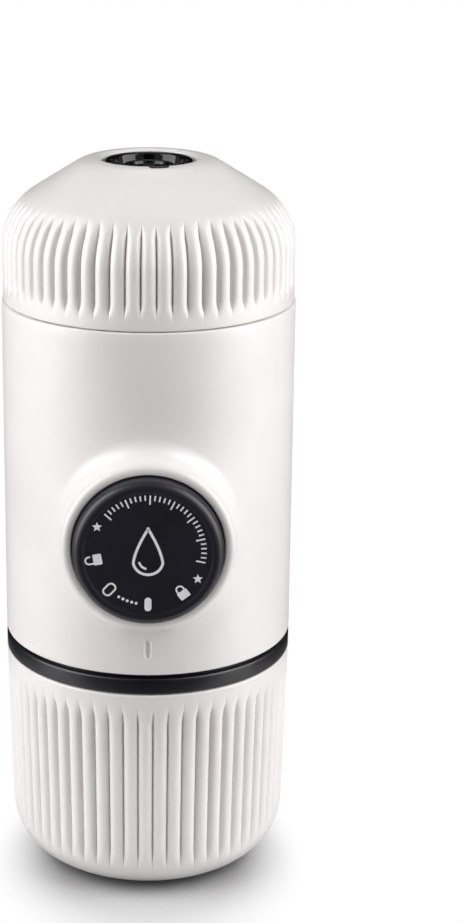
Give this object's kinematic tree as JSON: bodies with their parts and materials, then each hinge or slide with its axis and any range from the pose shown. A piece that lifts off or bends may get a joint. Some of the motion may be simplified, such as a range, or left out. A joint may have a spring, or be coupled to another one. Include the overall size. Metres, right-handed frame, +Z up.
{
  "type": "handheld manual espresso maker",
  "caption": "Handheld manual espresso maker: ribbed cup over a water tank, pump body with a turn-and-push knob, and a ribbed twist-off portafilter dome with an outlet nozzle.",
  "frame": {"origin": "centre of the cup's flat base, on the surface that the maker stands on", "axes": "+Z up the maker's axis, through the outlet nozzle; -Y to the front, along the knob's axis; +X to the right as seen from the front"},
  "size_m": [0.062, 0.071, 0.156],
  "materials": {
    "white_abs": "fine-grained satin moulded ABS, warm white",
    "black_abs": "satin moulded ABS, black",
    "knob_black": "fine-grained satin plastic, black, with pale printed marks",
    "nozzle_black": "polished black plastic",
    "smoke_tank": "smoke-tinted clear copolyester",
    "black_silicone": "matt moulded silicone, black",
    "clear_silicone": "matt milky silicone",
    "stainless_steel": "stamped stainless steel, lightly brushed",
    "spring_steel": "drawn stainless spring wire",
    "screw_steel": "plain stainless screw heads",
    "white_acetal": "turned acetal, white"
  },
  "bodies": {
    "main_body": {"body_shell": "white_abs", "neck_socket": "black_abs", "pump_block": "black_abs", "body_screws": "screw_steel", "head_screws": "screw_steel", "inlet_strainer": "stainless_steel", "inlet_valve_seat": "white_acetal", "inlet_spring": "spring_steel", "outlet_spring": "spring_steel", "outlet_valve_plug": "white_acetal", "head_seal": "black_silicone", "vent_valve": "clear_silicone", "rod_wiper": "white_acetal", "piston_spring": "spring_steel", "brew_head": "black_abs", "shower_screen": "stainless_steel", "brew_gasket": "clear_silicone"},
    "filter_basket": {"filter_basket": "stainless_steel"},
    "basket_seal": {"basket_seal": "black_silicone"},
    "portafilter": {"portafilter_shell": "white_abs", "portafilter_holder": "black_abs", "portafilter_screws": "screw_steel"},
    "outlet_nozzle": {"outlet_nozzle": "nozzle_black", "nozzle_seal": "black_silicone"},
    "tank_gasket": {"tank_gasket": "black_silicone"},
    "neck_o_ring": {"neck_o_ring": "black_silicone"},
    "water_tank": {"water_tank": "smoke_tank", "tank_collar": "black_abs"},
    "cup": {"cup": "white_abs"},
    "piston": {"piston_rod": "white_acetal", "piston_o_rings": "black_silicone", "piston_carrier": "black_abs"},
    "piston_knob": {"piston_knob": "knob_black"},
    "inlet_ball": {"inlet_ball": "stainless_steel"},
    "outlet_ball": {"outlet_ball": "stainless_steel"}
  },
  "joints": [
    {"name": "basket_lift", "type": "slide", "parent": "main_body", "child": "filter_basket", "axis": [0, 0, 1], "range_m": [0, 0.045]},
    {"name": "portafilter_lift", "type": "slide", "parent": "filter_basket", "child": "basket_seal", "axis": [0, 0, 1], "range_m": [0, 0.04]},
    {"name": "portafilter_turn", "type": "hinge", "parent": "basket_seal", "child": "portafilter", "pos_m": [0, 0, 0.1265], "axis": [0, 0, 1], "range_deg": [0, 60]},
    {"name": "nozzle_pull", "type": "slide", "parent": "portafilter", "child": "outlet_nozzle", "axis": [0, 0, 1], "range_m": [0, 0.015]},
    {"name": "tank_away", "type": "slide", "parent": "main_body", "child": "tank_gasket", "axis": [0, 0, -1], "range_m": [0, 0.06]},
    {"name": "tank_lower", "type": "slide", "parent": "tank_gasket", "child": "neck_o_ring", "axis": [0, 0, -1], "range_m": [0, 0.00751]},
    {"name": "tank_turn", "type": "hinge", "parent": "neck_o_ring", "child": "water_tank", "pos_m": [0, 0, 0.0525], "axis": [0, 0, -1], "range_deg": [0, 540]},
    {"name": "cup_pull", "type": "slide", "parent": "water_tank", "child": "cup", "axis": [0, 0, -1], "range_m": [0, 0.045]},
    {"name": "piston_stroke", "type": "slide", "parent": "main_body", "child": "piston", "axis": [0, -1, 0], "range_m": [0, 0.014], "deforming": ["piston_spring"]},
    {"name": "knob_turn", "type": "hinge", "parent": "piston", "child": "piston_knob", "pos_m": [0, -0.04, 0.083], "axis": [0, -1, 0], "range_deg": [0, 45]},
    {"name": "inlet_valve_lift", "type": "slide", "parent": "main_body", "child": "inlet_ball", "axis": [0, 0, 1], "range_m": [0, 0.0008], "stiffness_N_per_m": 40, "springref_m": -0.001, "deforming": ["inlet_spring"]},
    {"name": "outlet_valve_lift", "type": "slide", "parent": "main_body", "child": "outlet_ball", "axis": [0, 0, 1], "range_m": [0, 0.0008], "stiffness_N_per_m": 40, "springref_m": -0.001, "deforming": ["outlet_spring"]}
  ],
  "couplings": [
    {"joint": "tank_lower", "follows": "tank_turn", "m_per_rad": 0.00079577}
  ]
}
